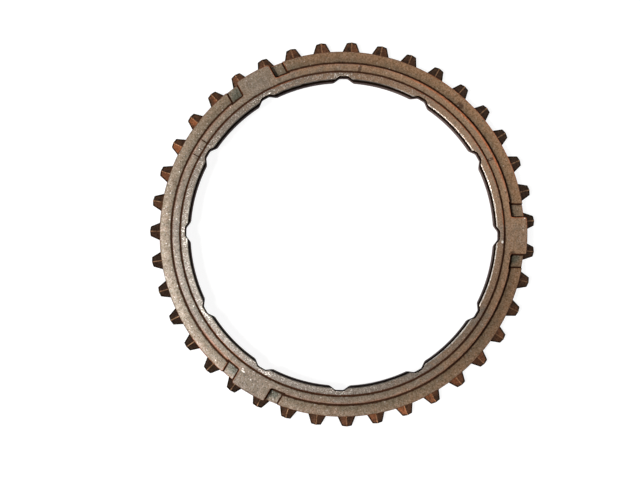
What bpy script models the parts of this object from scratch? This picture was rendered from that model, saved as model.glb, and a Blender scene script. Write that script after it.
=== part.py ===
"""Synchronizer ring of a manual gearbox: one forged steel ring, turned and milled.

Units are metres. The axis is +Z, the face towards the gear lies on z = 0 and the
face towards the hub is on top. The first index lug points along +X.
"""

import math

import bmesh
import bpy

MM = 0.001

# Radial stack of the section, from the bore's small end outwards
BORE_RADIUS = 35.7 * MM
INNER_BAND_WIDTH = 1.75 * MM
MIDDLE_LAND_WIDTH = 2.3 * MM
OUTER_LAND_WIDTH = 3.4 * MM

# Axial stack of the section, from the gear face upwards
TOOTH_SETBACK = 0.6 * MM
TOOTH_LENGTH = 3.6 * MM
WALL_ABOVE_TEETH = 0.6 * MM
POCKET_DEPTH = 0.7 * MM
MIDDLE_LAND_RISE = 2.3 * MM
INNER_BAND_RISE = 1.2 * MM

# Friction cone of the bore, widening towards the gear
CONE_ANGLE = math.radians(6.5)

# Edge breaks and corner fillets of the turned section
LAND_EDGE_BREAK = 0.2 * MM
GEAR_EDGE_BREAK = 0.4 * MM
BORE_EDGE_BREAK = 0.22 * MM
CORNER_FILLET = 0.18 * MM

# Blocking teeth, with a roof of two milled faces towards the hub
TOOTH_COUNT = 39
TOOTH_HEIGHT = 2.6 * MM
TOOTH_TIP_WIDTH = 2.32 * MM
TOOTH_FLANK_ANGLE = math.radians(25.0)
ROOF_SLOPE = math.radians(36.0)
TOOTH_TIP_BREAK = 0.15 * MM
TOOTH_ROOT_OVERLAP = 0.8 * MM

# Index lugs, level with the middle land
LUG_COUNT = 3
LUG_WIDTH = 8.6 * MM
LUG_CORNER_BREAK = 0.35 * MM
LUG_ROOT_FILLET = 0.4 * MM
LUG_EDGE_BREAK = 0.2 * MM

# Milled pocket on both sides of each lug
POCKET_LENGTH = 3.3 * MM
POCKET_UNDERCUT = 0.25 * MM

# Oil grooves along the bore, deeper towards the gear
GROOVE_COUNT = 12
GROOVE_FLOOR_WIDTH = 1.95 * MM
GROOVE_DEPTH_AT_HUB = 0.7 * MM
GROOVE_DEPTH_AT_GEAR = 1.05 * MM
GROOVE_FLANK_ANGLE = math.radians(53.0)
GROOVE_CORNER_RADIUS = 0.9 * MM

# Finish of the part, and how finely curves are divided
STEEL_COLOUR = (0.246, 0.168, 0.112, 1.0)
STEEL_ROUGHNESS = 0.52
STEEL_METALLIC = 0.65
RING_STEPS = 156
CORNER_STEPS = 3
SHARP_ANGLE = math.radians(20.0)

# Lengths that a cutting body runs past the surface that it cuts, flat or on a slope
CUT_CLEARANCE = 1.0 * MM
SLOPE_CLEARANCE = 0.1 * MM

# A turned section's last step meets its first within this distance
SEAM_DISTANCE = 0.01 * MM

BAND_RADIUS = BORE_RADIUS + INNER_BAND_WIDTH
MIDDLE_RADIUS = BAND_RADIUS + MIDDLE_LAND_WIDTH
RIM_RADIUS = MIDDLE_RADIUS + OUTER_LAND_WIDTH
TIP_RADIUS = RIM_RADIUS + TOOTH_HEIGHT
POCKET_RADIUS = MIDDLE_RADIUS - POCKET_UNDERCUT

RIDGE_LEVEL = TOOTH_SETBACK + TOOTH_LENGTH
POCKET_LEVEL = RIDGE_LEVEL + WALL_ABOVE_TEETH
OUTER_LEVEL = POCKET_LEVEL + POCKET_DEPTH
MIDDLE_LEVEL = OUTER_LEVEL + MIDDLE_LAND_RISE
HUB_LEVEL = MIDDLE_LEVEL + INNER_BAND_RISE
GEAR_BORE_RADIUS = BORE_RADIUS + HUB_LEVEL * math.tan(CONE_ANGLE)


def clear_scene():
    for item in list(bpy.data.objects):
        bpy.data.objects.remove(item, do_unlink=True)


def steel():
    material = bpy.data.materials.new("forged_steel")
    material.use_nodes = True
    shader = material.node_tree.nodes["Principled BSDF"]
    shader.inputs["Base Color"].default_value = STEEL_COLOUR
    shader.inputs["Roughness"].default_value = STEEL_ROUGHNESS
    shader.inputs["Metallic"].default_value = STEEL_METALLIC
    material.diffuse_color = STEEL_COLOUR
    return material


def add_object(name, mesh):
    item = bpy.data.objects.new(name, mesh)
    bpy.context.scene.collection.objects.link(item)
    return item


def break_corners(corners):
    """Cut each corner (x, y, size) of a closed outline back by its size along both of its edges."""
    outline = []
    for index, (x, y, size) in enumerate(corners):
        before = corners[index - 1]
        after = corners[(index + 1) % len(corners)]
        for neighbour in (before, after):
            reach = math.dist((x, y), neighbour[:2])
            share = size / reach
            outline.append((x + (neighbour[0] - x) * share, y + (neighbour[1] - y) * share))
    return outline


def arc(centre, radius, start, end, steps):
    """Points of an arc in the plane, both ends included, with angles in radians."""
    points = []
    for step in range(steps + 1):
        angle = start + (end - start) * step / steps
        points.append((centre[0] + radius * math.cos(angle), centre[1] + radius * math.sin(angle)))
    return points


def turned_point(point, angle):
    x, y, z = point
    return (x * math.cos(angle) - y * math.sin(angle), x * math.sin(angle) + y * math.cos(angle), z)


def add_skin(form, rings):
    """Close a body over a row of rings of points, each with as many points as the first."""
    rows = [[form.verts.new(point) for point in ring] for ring in rings]
    for low, high in zip(rows, rows[1:]):
        for index in range(len(low)):
            form.faces.new((low[index - 1], low[index], high[index], high[index - 1]))
    form.faces.new(rows[0])
    form.faces.new(rows[-1])


def repeated_body(name, rings, count, first_angle):
    """A skinned body repeated about the axis."""
    form = bmesh.new()
    for index in range(count):
        angle = first_angle + index * math.tau / count
        add_skin(form, [[turned_point(point, angle) for point in ring] for ring in rings])
    bmesh.ops.recalc_face_normals(form, faces=form.faces)
    mesh = bpy.data.meshes.new(name)
    form.to_mesh(mesh)
    form.free()
    return add_object(name, mesh)


def turned_body(name, section, first_angle):
    """A closed section of points (radius, height), turned about the axis."""
    mesh = bpy.data.meshes.new(name)
    points = [turned_point((radius, 0.0, height), first_angle) for radius, height in section]
    edges = [(index, (index + 1) % len(points)) for index in range(len(points))]
    mesh.from_pydata(points, edges, [])
    body = add_object(name, mesh)
    turn = body.modifiers.new("turned section", "SCREW")
    turn.axis = "Z"
    turn.angle = math.tau
    turn.steps = RING_STEPS
    turn.render_steps = RING_STEPS
    turn.use_merge_vertices = True
    turn.merge_threshold = SEAM_DISTANCE
    return body


def shape(body, label, operation, tool):
    """Cut or join a tool body, which is only drawn as wire."""
    tool.hide_render = True
    tool.display_type = "WIRE"
    step = body.modifiers.new(label, "BOOLEAN")
    step.operation = operation
    step.solver = "EXACT"
    step.object = tool


def turned_blank():
    """The turned ring before milling: its middle land still reaches out to the rim, at the lugs' level."""
    section = break_corners([
        (BORE_RADIUS, HUB_LEVEL, BORE_EDGE_BREAK),
        (BAND_RADIUS, HUB_LEVEL, LAND_EDGE_BREAK),
        (BAND_RADIUS, MIDDLE_LEVEL, CORNER_FILLET),
        (RIM_RADIUS, MIDDLE_LEVEL, LUG_EDGE_BREAK),
        (RIM_RADIUS, 0.0, GEAR_EDGE_BREAK),
        (GEAR_BORE_RADIUS, 0.0, BORE_EDGE_BREAK),
    ])
    half_step = math.pi / RING_STEPS
    return turned_body("synchronizer_ring", section, half_step)


def land_cutter():
    """What is milled off round the rim: down to the outer land, deeper in the pockets, and not at the lugs."""
    top = MIDDLE_LEVEL + CUT_CLEARANCE
    past_rim = RIM_RADIUS + CUT_CLEARANCE
    edge = LAND_EDGE_BREAK + SLOPE_CLEARANCE
    section = [
        (MIDDLE_RADIUS - edge, top),
        (past_rim, top),
        (past_rim, OUTER_LEVEL - edge),
        (RIM_RADIUS + SLOPE_CLEARANCE, OUTER_LEVEL - edge),
        (RIM_RADIUS - LAND_EDGE_BREAK, OUTER_LEVEL),
        (MIDDLE_RADIUS + CORNER_FILLET, OUTER_LEVEL),
        (MIDDLE_RADIUS, OUTER_LEVEL + CORNER_FILLET),
        (MIDDLE_RADIUS, MIDDLE_LEVEL - LAND_EDGE_BREAK),
        (MIDDLE_RADIUS - edge, MIDDLE_LEVEL + SLOPE_CLEARANCE),
    ]
    cutter = turned_body("land_cutter", section, 0.0)
    shape(cutter, "pockets beside the lugs", "UNION", pocket_spans())
    shape(cutter, "places of the lugs", "DIFFERENCE", lug_places())
    return cutter


def pocket_spans():
    """The floor plan of both pockets of a lug as one span, from the pocket floor upwards."""
    half = LUG_WIDTH / 2 + POCKET_LENGTH
    sweep = math.asin(half / POCKET_RADIUS)
    past_rim = RIM_RADIUS + CUT_CLEARANCE / 2
    outline = arc((0.0, 0.0), POCKET_RADIUS, sweep, -sweep, 4 * CORNER_STEPS)
    outline += [(past_rim, -half), (past_rim, half)]
    rings = [[(x, y, level) for x, y in outline] for level in (POCKET_LEVEL, MIDDLE_LEVEL + CUT_CLEARANCE / 2)]
    return repeated_body("pocket_spans", rings, LUG_COUNT, 0.0)


def lug_outline(inset):
    """Plan of a lug: parallel sides with broken outer corners, and fillets where they leave the land."""
    half = LUG_WIDTH / 2 - inset
    fillet = LUG_ROOT_FILLET + inset
    root_x = math.sqrt(POCKET_RADIUS**2 - (half + fillet) ** 2)
    corner_x = math.sqrt(RIM_RADIUS**2 - half**2) - LUG_CORNER_BREAK
    reach = LUG_CORNER_BREAK + CUT_CLEARANCE
    side = [(BAND_RADIUS, half + fillet)]
    side += arc((root_x + fillet, half + fillet), fillet, math.pi, 1.5 * math.pi, CORNER_STEPS)
    side += [(corner_x, half), (corner_x + reach, half - reach)]
    return side + [(x, -y) for x, y in reversed(side)]


def lug_places():
    """Bodies that keep the milling off each lug, with sides that lean in at the lug's top edges."""
    rings = []
    for level, inset in (
        (POCKET_LEVEL - CUT_CLEARANCE, 0.0),
        (MIDDLE_LEVEL - LUG_EDGE_BREAK, 0.0),
        (MIDDLE_LEVEL + SLOPE_CLEARANCE, LUG_EDGE_BREAK + SLOPE_CLEARANCE),
    ):
        rings.append([(x, y, level) for x, y in lug_outline(inset)])
    return repeated_body("lug_places", rings, LUG_COUNT, 0.0)


def tooth_section(radius, inset):
    """Five-sided cross-section of a tooth at one radius, drawn in by inset on every side."""
    half = TOOTH_TIP_WIDTH / 2 + (TIP_RADIUS - radius) * math.tan(TOOTH_FLANK_ANGLE) - inset
    underside = TOOTH_SETBACK + inset
    ridge = RIDGE_LEVEL - inset
    eaves = ridge - half * math.tan(ROOF_SLOPE)
    return [
        (radius, -half, underside),
        (radius, half, underside),
        (radius, half, eaves),
        (radius, 0.0, ridge),
        (radius, -half, eaves),
    ]


def teeth():
    """Roofed teeth round the rim, with the first lug over a gap between two of them."""
    rings = [
        tooth_section(RIM_RADIUS - TOOTH_ROOT_OVERLAP, 0.0),
        tooth_section(TIP_RADIUS - TOOTH_TIP_BREAK, 0.0),
        tooth_section(TIP_RADIUS, TOOTH_TIP_BREAK),
    ]
    return repeated_body("teeth", rings, TOOTH_COUNT, math.pi / TOOTH_COUNT)


def groove_outline(floor_radius):
    """Plan of a groove at one height: a flat floor, round corners and sloping flanks."""
    lean = math.pi / 2 - GROOVE_FLANK_ANGLE
    setback = GROOVE_CORNER_RADIUS * math.tan(lean / 2)
    corner_y = GROOVE_FLOOR_WIDTH / 2 - setback
    centre = (floor_radius - GROOVE_CORNER_RADIUS, corner_y)
    side = arc(centre, GROOVE_CORNER_RADIUS, 0.0, lean, CORNER_STEPS)
    drop = GROOVE_DEPTH_AT_GEAR + CUT_CLEARANCE
    mouth_y = GROOVE_FLOOR_WIDTH / 2 + drop * math.tan(GROOVE_FLANK_ANGLE)
    side.append((floor_radius - drop, mouth_y))
    return [(x, -y) for x, y in reversed(side)] + side


def grooves():
    """Cutting bodies for the oil grooves, each a prism that leans outwards towards the gear."""
    floor_at_hub = BORE_RADIUS + GROOVE_DEPTH_AT_HUB
    floor_at_gear = GEAR_BORE_RADIUS + GROOVE_DEPTH_AT_GEAR
    lean = (floor_at_gear - floor_at_hub) / HUB_LEVEL
    rings = []
    for level, floor in (
        (-CUT_CLEARANCE, floor_at_gear + CUT_CLEARANCE * lean),
        (HUB_LEVEL + CUT_CLEARANCE, floor_at_hub - CUT_CLEARANCE * lean),
    ):
        rings.append([(x, y, level) for x, y in groove_outline(floor)])
    return repeated_body("groove_cutters", rings, GROOVE_COUNT, 0.0)


def make_solid(ring):
    """Keep the shaped ring as one plain mesh, smooth on its round faces, and drop its tools."""
    graph = bpy.context.evaluated_depsgraph_get()
    solid = bpy.data.meshes.new_from_object(ring.evaluated_get(graph))
    solid.name = ring.name
    solid.materials.clear()
    solid.materials.append(steel())
    solid.shade_smooth()
    solid.set_sharp_from_angle(angle=SHARP_ANGLE)
    ring.modifiers.clear()
    ring.data = solid
    for item in list(bpy.data.objects):
        if item.hide_render:
            bpy.data.objects.remove(item, do_unlink=True)


def main():
    clear_scene()
    ring = turned_blank()
    shape(ring, "milled lands and pockets", "DIFFERENCE", land_cutter())
    shape(ring, "blocking teeth", "UNION", teeth())
    shape(ring, "oil grooves", "DIFFERENCE", grooves())
    make_solid(ring)


main()
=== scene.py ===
"""Looks of the synchronizer ring: the finely rounded forging, its worn steel and a studio.

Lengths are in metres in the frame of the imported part. The axis is +Z, the face
towards the gear lies on z = 0 and the first index lug points along +X.
"""

import math

import bmesh
import bpy
from bpy.props import FloatProperty, FloatVectorProperty, IntProperty, PointerProperty
from mathutils import Matrix, Vector


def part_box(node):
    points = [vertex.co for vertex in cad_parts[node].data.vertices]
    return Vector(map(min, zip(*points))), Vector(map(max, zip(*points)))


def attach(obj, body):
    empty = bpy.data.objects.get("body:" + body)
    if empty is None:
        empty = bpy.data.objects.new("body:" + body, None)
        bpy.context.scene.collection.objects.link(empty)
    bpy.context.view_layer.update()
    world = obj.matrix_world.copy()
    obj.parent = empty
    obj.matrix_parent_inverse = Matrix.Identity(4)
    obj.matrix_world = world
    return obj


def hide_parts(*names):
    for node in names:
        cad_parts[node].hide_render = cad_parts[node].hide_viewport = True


bl_info = {
    "name": "Synchronizer Ring",
    "version": (1, 0, 0),
    "blender": (4, 5, 0),
    "location": "View3D > Sidebar > Ring",
    "description": "Builds a forged synchronizer ring with worn steel, and a studio for it",
    "category": "Add Mesh",
}

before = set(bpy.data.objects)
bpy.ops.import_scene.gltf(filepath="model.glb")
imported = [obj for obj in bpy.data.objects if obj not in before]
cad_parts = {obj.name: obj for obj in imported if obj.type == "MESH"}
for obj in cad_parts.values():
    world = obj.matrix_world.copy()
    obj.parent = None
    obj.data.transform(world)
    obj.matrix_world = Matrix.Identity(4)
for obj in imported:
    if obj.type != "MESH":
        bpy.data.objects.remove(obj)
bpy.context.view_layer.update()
RING_NODE = "synchronizer_ring"
RING_LOW, RING_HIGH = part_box(RING_NODE)

MM = 0.001

# Camera above the ring: place, lean about its two level axes, and turn about the ring's axis
CAMERA_PLACE = (-2.39 * MM, -4.31 * MM, 184.86 * MM)
CAMERA_LEAN = (0.0155, 0.0152)
CAMERA_ROLL = math.radians(0.77)

# Steps of a rounded edge, and how far it turns before it runs straight past the surface that it cuts
ARC_STEPS = 4
EDGE_TURN = math.radians(70.0)

# Lengths that a cutting body runs past the surface that it cuts, flat or on a slope
CUT_CLEARANCE = 1.0 * MM
SLOPE_CLEARANCE = 0.1 * MM

# Angle between a groove's flanks and the bore at its mouth, as a share of their angle below it
MOUTH_SHARE = 0.65

# Strokes of the stamp on the middle land: angle about the axis in degrees, inner end and outer end
STAMP_STROKES = (
    (147.0, 37.75 * MM, 39.5 * MM),
    (149.9, 38.3 * MM, 39.0 * MM),
    (152.6, 37.75 * MM, 39.5 * MM),
)

# Depth of the stamp, half its width at the surface, and the share by which it narrows to its floor
STAMP_DEPTH = 0.15 * MM
STAMP_HALF_WIDTH = 0.1 * MM
STAMP_TAPER = 0.8

# Turn between two faces from which their edge is shaded sharp
SHARP_ANGLE = math.radians(40.0)

# Marks on the lands: angle in degrees, then radius, half length across and half length round in mm
STAINS_AND_SHADOW = (
    (84.5, 38.7, 1.2, 0.5),
    (27.2, 38.6, 1.0, 0.45),
    (281.8, 38.1, 0.32, 0.34),
    (48.0, 41.2, 0.7, 1.1),
    # Dark corner of the pocket under the first lug: dirt and a painted shadow
    (353.8, 39.9, 0.9, 0.8),
)
SCRAPES_AND_HIGHLIGHT = (
    (235.2, 39.5, 0.2, 0.55),
    (234.6, 39.05, 0.16, 0.3),
    (357.6, 37.1, 0.3, 0.35),
    # Pale spot at the outer end of the first lug's upper edge: a painted highlight
    (5.5, 42.6, 0.22, 0.16),
)

# Oily places on the pocket floors, given like the marks
OILY_FLOORS = (
    (353.0, 40.7, 1.9, 1.7),
    (127.6, 40.9, 2.2, 2.0),
    (232.0, 40.8, 1.6, 1.6),
    (247.5, 40.8, 1.6, 1.6),
)

# Stretches where the edges are brightest, from wear and from painted highlights: angle and half the span in
# degrees, and how much
RUBBED_AND_LIT_STRETCHES = (
    (225.0, 10.0, 0.65),
    (42.0, 24.0, 0.9),
    (5.5, 3.5, 1.0),
    (113.0, 4.0, 0.9),
)
RUBBED_ALL_ROUND = 0.2

# Reach in mm of the old oil and painted shade in the corners of the steps and of the pockets
INNER_STEP_GRIME_AND_SHADE = 0.68
OUTER_STEP_GRIME_AND_SHADE = 0.98
POCKET_WALL_GRIME_AND_SHADE = 1.15
POCKET_SIDE_GRIME_AND_SHADE = 0.4

# Directions from the axis, in degrees, in which the oxide on the lands is thickest, and in which the lands
# are painted darker as shade
BROWN_SIDE = 28.0
SHADED_SIDE = 335.0

# Directions in which the lands get the most painted glints and the middle land is painted darker as shade, in
# which they are scoured most, and in which the inner band gets painted glints
BRIGHT_SIDE = 195.0
SCOURED_SIDE = 240.0
GLINTING_BAND = 180.0

# Direction in which the upper edge of the bore gets a painted highlight
BORE_HIGHLIGHT_SIDE = 5.0

# Direction of the axis at whose two ends the teeth are most coppery, with thin oxide and a painted highlight
LIT_TEETH = 120.0

# Pitch in mm of the lathe's lines on the cone and the gear face
LATHE_PITCH = 0.35

# Lamps: width, colour, angle about the axis and angle above the floor in degrees, and distance
LAMPS = {
    "flash": (0.035, (1.0, 0.99, 0.94), 197.0, 72.0, 0.294),
    "low_lamp": (0.24, (1.0, 0.6, 0.36), 222.0, 9.0, 1.2),
    "window": (0.24, (1.0, 0.93, 0.85), 190.0, 12.0, 1.2),
    "side_lamp": (0.1, (1.0, 0.72, 0.5), 27.0, 12.0, 0.4),
}

# How far the floor reaches from the ring to each side
FLOOR_REACH = 4.0


def number(name, description, default, **settings):
    return FloatProperty(name=name, description=description, default=default, min=0.0, **settings)


def length(name, description, default):
    return number(name, description, default, precision=5, unit="LENGTH")


def angle(name, description, degrees):
    return number(name, description, math.radians(degrees), subtype="ANGLE")


def power(name, description, default):
    return number(name, description, default, unit="POWER")


def count(name, description, default):
    return IntProperty(name=name, description=description, default=default, min=1)


def colour(name, description, default):
    return FloatVectorProperty(
        name=name, description=description, default=default, size=3, min=0.0, max=1.0, subtype="COLOR"
    )


class SectionSizes(bpy.types.PropertyGroup):
    """The turned section of the ring."""

    bore_radius: length("Bore radius", "Small end of the friction cone", 35.7 * MM)
    band_width: length("Inner band", "Width of the highest land, next to the bore", 1.75 * MM)
    middle_width: length("Middle land", "Width of the land that runs out into the lugs", 2.3 * MM)
    outer_width: length("Outer land", "Width of the land above the teeth", 3.4 * MM)
    pocket_level: length("Pocket floor", "Height of the pocket floors above the gear face", 4.8 * MM)
    outer_level: length("Outer land level", "Height of the outer land above the gear face", 5.5 * MM)
    middle_level: length("Middle land level", "Height of the middle land above the gear face", 7.8 * MM)
    hub_level: length("Height", "Height of the inner band, the whole ring's", RING_HIGH.z)
    cone_angle: angle("Cone angle", "Lean of the bore from the axis, wider at the gear", 6.5)
    land_edge: length("Land edges", "Radius of the edges of the lands", 0.26 * MM)
    rim_edge: length("Rim edge", "Radius of the rim's upper edge, where the lugs keep it", 0.3 * MM)
    bore_edge: length("Bore edges", "Radius of the two edges of the bore", 0.26 * MM)
    gear_edge: length("Gear side edge", "Radius of the outer edge of the gear face", 0.45 * MM)
    fillet: length("Step fillets", "Radius in the corner of each step", 0.16 * MM)
    steps: count("Steps", "Facets about the axis", 312)

    @property
    def band_radius(self):
        return self.bore_radius + self.band_width

    @property
    def middle_radius(self):
        return self.band_radius + self.middle_width

    @property
    def rim_radius(self):
        return self.middle_radius + self.outer_width

    @property
    def gear_bore_radius(self):
        return self.bore_radius_at(0.0)

    def bore_radius_at(self, level):
        return self.bore_radius + (self.hub_level - level) * math.tan(self.cone_angle)


class ToothSizes(bpy.types.PropertyGroup):
    """The blocking teeth, roofed towards the hub."""

    number: count("Teeth", "Teeth round the rim", 39)
    tip_radius: length("Tip radius", "Radius over the tooth tips", -RING_LOW.x)
    tip_width: length("Tip width", "Width of a tooth at its tip", 2.32 * MM)
    flank_angle: angle("Flank angle", "Lean of each flank from the tooth's own axis", 25.0)
    roof_slope: angle("Roof slope", "Fall of both roof faces from the ridge", 36.0)
    underside_level: length("Underside", "Height of the undersides above the gear face", 0.6 * MM)
    ridge_level: length("Ridge", "Height of the ridges above the gear face", 4.2 * MM)
    root_overlap: length("Root overlap", "Depth of each tooth's root inside the rim", 0.8 * MM)
    tip_edge: length("Tip edges", "Radius of the edges round the tip", 0.16 * MM)
    side_edge: length("Side edges", "Radius of the eaves and of the lower edges", 0.14 * MM)
    ridge_edge: length("Ridge edge", "Radius of the ridge", 0.09 * MM)


class LugSizes(bpy.types.PropertyGroup):
    """The index lugs and the pockets beside them."""

    number: count("Lugs", "Index lugs round the rim", 3)
    width: length("Lug width", "Width across the parallel sides of a lug", 8.6 * MM)
    edge: length("Side edges", "Radius of the upper edges of the sides", 0.22 * MM)
    floor_fillet: length("Floor fillets", "Radius between a side and the pocket floor", 0.2 * MM)
    corner_radius: length("Outer corners", "Radius of the upright outer corners", 0.4 * MM)
    root_fillet: length("Root fillets", "Radius where a side leaves the middle land", 0.4 * MM)
    pocket_length: length("Pocket length", "Length of each pocket from the lug's side", 3.3 * MM)
    pocket_undercut: length("Undercut", "Depth of the pockets into the middle land", 0.25 * MM)
    pocket_edge: length("Pocket edges", "Radius of the edges of the pockets", 0.14 * MM)

    @property
    def half_width(self):
        return self.width / 2

    @property
    def pocket_reach(self):
        return self.half_width + self.pocket_length


class GrooveSizes(bpy.types.PropertyGroup):
    """The oil grooves along the bore."""

    number: count("Grooves", "Oil grooves round the bore", 12)
    floor_width: length("Floor width", "Width of a groove's floor between its flanks", 1.95 * MM)
    depth_at_hub: length("Depth at the hub", "Depth under the inner band's face", 0.7 * MM)
    depth_at_gear: length("Depth at the gear", "Depth at the gear face", 1.05 * MM)
    flank_angle: angle("Flank angle", "Lean of each flank from the groove's own axis", 53.0)
    corner_radius: length("Floor corners", "Radius between floor and flanks", 0.9 * MM)
    edge: length("Groove edges", "Radius of the edges at both faces of the ring", 0.12 * MM)


class SteelFinish(bpy.types.PropertyGroup):
    """Colours of the forged steel, of what years in a gearbox have left on it, and of the painted shade and
    highlights on it.
    """

    brown: colour("Brown", "Blasted lands where the oxide is thick", (0.235, 0.132, 0.07))
    grey: colour("Grey", "Blasted lands where the oxide is thin", (0.195, 0.136, 0.086))
    silver: colour("Silver", "Higher lands, scoured by the hub", (0.168, 0.136, 0.112))
    rust: colour("Rust", "Stains of rust on the lands", (0.2, 0.085, 0.04))
    # Also painted shade beside the steps
    stain_and_shade: colour("Stain", "Old oil on the lands beside the steps", (0.075, 0.076, 0.058))
    pocket: colour("Pocket floors", "Smooth floors beside the lugs", (0.15, 0.125, 0.09))
    oxide: colour("Oxide", "Teeth and outer walls", (0.056, 0.033, 0.022))
    # Also a painted highlight on the teeth that face the low lamps
    copper_and_highlight: colour("Thin oxide", "Teeth and outer walls where the oxide has worn", (0.167, 0.075, 0.04))
    # Also a painted highlight along the ridges
    ridge: colour("Ridges", "Rubbed ridges of the teeth", (0.4, 0.22, 0.12))
    oil: colour("Oil", "Wet oil on the pocket floors", (0.06, 0.068, 0.05))
    # Also painted highlights along some stretches of the edges
    edge: colour("Edges", "Rubbed edges of the lands", (0.38, 0.115, 0.045))
    # Also the painted glints and the painted highlight along the bore's upper edge
    bare_and_highlights: colour("Bare steel", "Bright spots, and the edge of the bore", (0.75, 0.7, 0.65))
    # Also painted shade in corners and on upright walls, and a painted shadow in one pocket corner
    grime_and_shade: colour("Grime", "Old oil in corners, on upright walls and in marks", (0.036, 0.015, 0.008))
    # Also painted shade on the eaves of the teeth and on the cone next to the hub side
    tar_and_shade: colour("Dried oil", "Rims of the teeth, and the cone next to the hub side", (0.012, 0.007, 0.004))
    cone: colour("Cone", "Friction cone and the grooves in it", (0.24, 0.195, 0.2))
    metallic: number("Metal share", "How much the surface shines as metal", 0.08)
    tooth_metallic: number("Metal share of the teeth", "How much the roofs of the teeth shine as metal", 0.7)
    shine: number("Shine", "Strength of the pale sheen on the lands", 0.45)


class StudioLight(bpy.types.PropertyGroup):
    """Lamps, floor and camera."""

    floor: colour("Floor", "Colour of the floor", (0.19, 0.19, 0.19))
    floor_glow: number("Floor glow", "Light that the camera sees the floor give", 0.91)
    world: number("Room light", "Strength of the even light from all round", 0.25)
    flash: power("Flash", "Power of the lamp beside the camera", 0.68)
    low_lamp: power("Low lamp", "Power of the low warm lamp", 3.8)
    window: power("Window", "Power of the low neutral lamp", 0.5)
    side_lamp: power("Side lamp", "Power of the weak lamp opposite", 0.12)
    focal_length: number("Focal length", "Focal length of the camera in mm on a 36 mm sensor", 42.75)


class RingSettings(bpy.types.PropertyGroup):
    """Everything that shapes and finishes the ring."""

    section: PointerProperty(type=SectionSizes)
    teeth: PointerProperty(type=ToothSizes)
    lugs: PointerProperty(type=LugSizes)
    grooves: PointerProperty(type=GrooveSizes)
    finish: PointerProperty(type=SteelFinish)
    studio: PointerProperty(type=StudioLight)


class NodeSheet:
    """One node tree, with short ways to add its nodes and to feed their inputs."""

    def __init__(self, tree):
        self.tree = tree

    def feed(self, socket, value):
        if isinstance(value, bpy.types.NodeSocket):
            self.tree.links.new(value, socket)
        else:
            socket.default_value = value

    def feed_all(self, node, inputs):
        for socket, value in inputs.items():
            self.feed(node.inputs[socket], value)

    def surface(self, inputs):
        """Feed the shader that a new material starts with."""
        self.feed_all(self.tree.nodes["Principled BSDF"], inputs)

    def node(self, kind, inputs, **settings):
        made = self.tree.nodes.new(kind)
        for setting, value in settings.items():
            setattr(made, setting, value)
        self.feed_all(made, inputs)
        return made

    def add(self, kind, inputs=None, output=0, **settings):
        return self.node(kind, inputs or {}, **settings).outputs[output]

    def math(self, operation, *values):
        return self.add("ShaderNodeMath", dict(enumerate(values)), operation=operation)

    def folded(self, operation, values):
        """One value from several, by an operation on two at a time."""
        result = values[0]
        for value in values[1:]:
            result = self.math(operation, result, value)
        return result

    def total(self, *values):
        return self.folded("ADD", values)

    def times(self, *factors):
        return self.folded("MULTIPLY", factors)

    def least(self, *values):
        return self.folded("MINIMUM", values)

    def most(self, *values):
        return self.folded("MAXIMUM", values)

    def point(self, x=0.0, y=0.0, z=0.0):
        return self.add("ShaderNodeCombineXYZ", {"X": x, "Y": y, "Z": z})

    def vector(self, operation, *values):
        output = "Value" if operation in ("LENGTH", "DISTANCE", "DOT_PRODUCT") else "Vector"
        return self.add("ShaderNodeVectorMath", dict(enumerate(values)), output, operation=operation)


# Outlines in the plane


def rounded_corner(before, corner, after, radius):
    """The arc that rounds one corner of an outline between its two neighbours."""
    corner = Vector(corner)
    to_before = (Vector(before) - corner).normalized()
    to_after = (Vector(after) - corner).normalized()
    half_angle = to_before.angle(to_after) / 2
    centre = corner + (to_before + to_after).normalized() * (radius / math.sin(half_angle))
    spoke = corner + to_before * (radius / math.tan(half_angle)) - centre
    turn = math.copysign(math.pi - 2 * half_angle, to_after.cross(to_before))
    points = []
    for step in range(ARC_STEPS + 1):
        points.append(tuple(centre + Matrix.Rotation(turn * step / ARC_STEPS, 2) @ spoke))
    return points


def rounded_outline(corners):
    """A closed outline with each corner (x, y, radius) rounded."""
    outline = []
    for index, (x, y, radius) in enumerate(corners):
        before = corners[index - 1][:2]
        after = corners[(index + 1) % len(corners)][:2]
        outline += rounded_corner(before, (x, y), after, radius)
    return outline


def arc(centre, radius, start, end):
    points = []
    for step in range(ARC_STEPS + 1):
        turn = start + (end - start) * step / ARC_STEPS
        points.append((centre[0] + radius * math.cos(turn), centre[1] + radius * math.sin(turn)))
    return points


def edge_profile(radius, past=SLOPE_CLEARANCE):
    """Steps (height above a surface, inset) over a rounded edge, run on past the surface."""
    steps = []
    for step in range(ARC_STEPS + 1):
        turn = EDGE_TURN * step / ARC_STEPS
        steps.append((radius * math.sin(turn) - radius, radius - radius * math.cos(turn)))
    height, inset = steps[-1]
    steps.append((height + past / math.tan(EDGE_TURN) + radius * (1 - math.sin(EDGE_TURN)), inset + past))
    return steps


# Drawn sections and cutting bodies


def ring_section(section):
    """Half section of the turned ring, its middle land still reaching out to the rim."""
    return rounded_outline([
        (section.bore_radius, section.hub_level, section.bore_edge),
        (section.band_radius, section.hub_level, section.land_edge),
        (section.band_radius, section.middle_level, section.fillet),
        (section.rim_radius, section.middle_level, section.rim_edge),
        (section.rim_radius, 0.0, section.gear_edge),
        (section.gear_bore_radius, 0.0, section.bore_edge),
    ])


def milled_section(section, wall, floor, edge, clearance):
    """Half section of what is milled off outside a wall radius and above a floor."""
    top = section.middle_level + clearance
    outside = section.rim_radius + clearance
    upper_edge = [(wall - inset, section.middle_level + height) for height, inset in edge_profile(edge)]
    lower_edge = [(section.rim_radius + height, floor - inset) for height, inset in edge_profile(edge)]
    fillet = arc((wall + section.fillet, floor + section.fillet), section.fillet, 1.5 * math.pi, math.pi)
    outline = fillet + upper_edge
    outline += [(upper_edge[-1][0], top), (outside, top), (outside, lower_edge[-1][1])]
    return outline + lower_edge[::-1]


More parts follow.
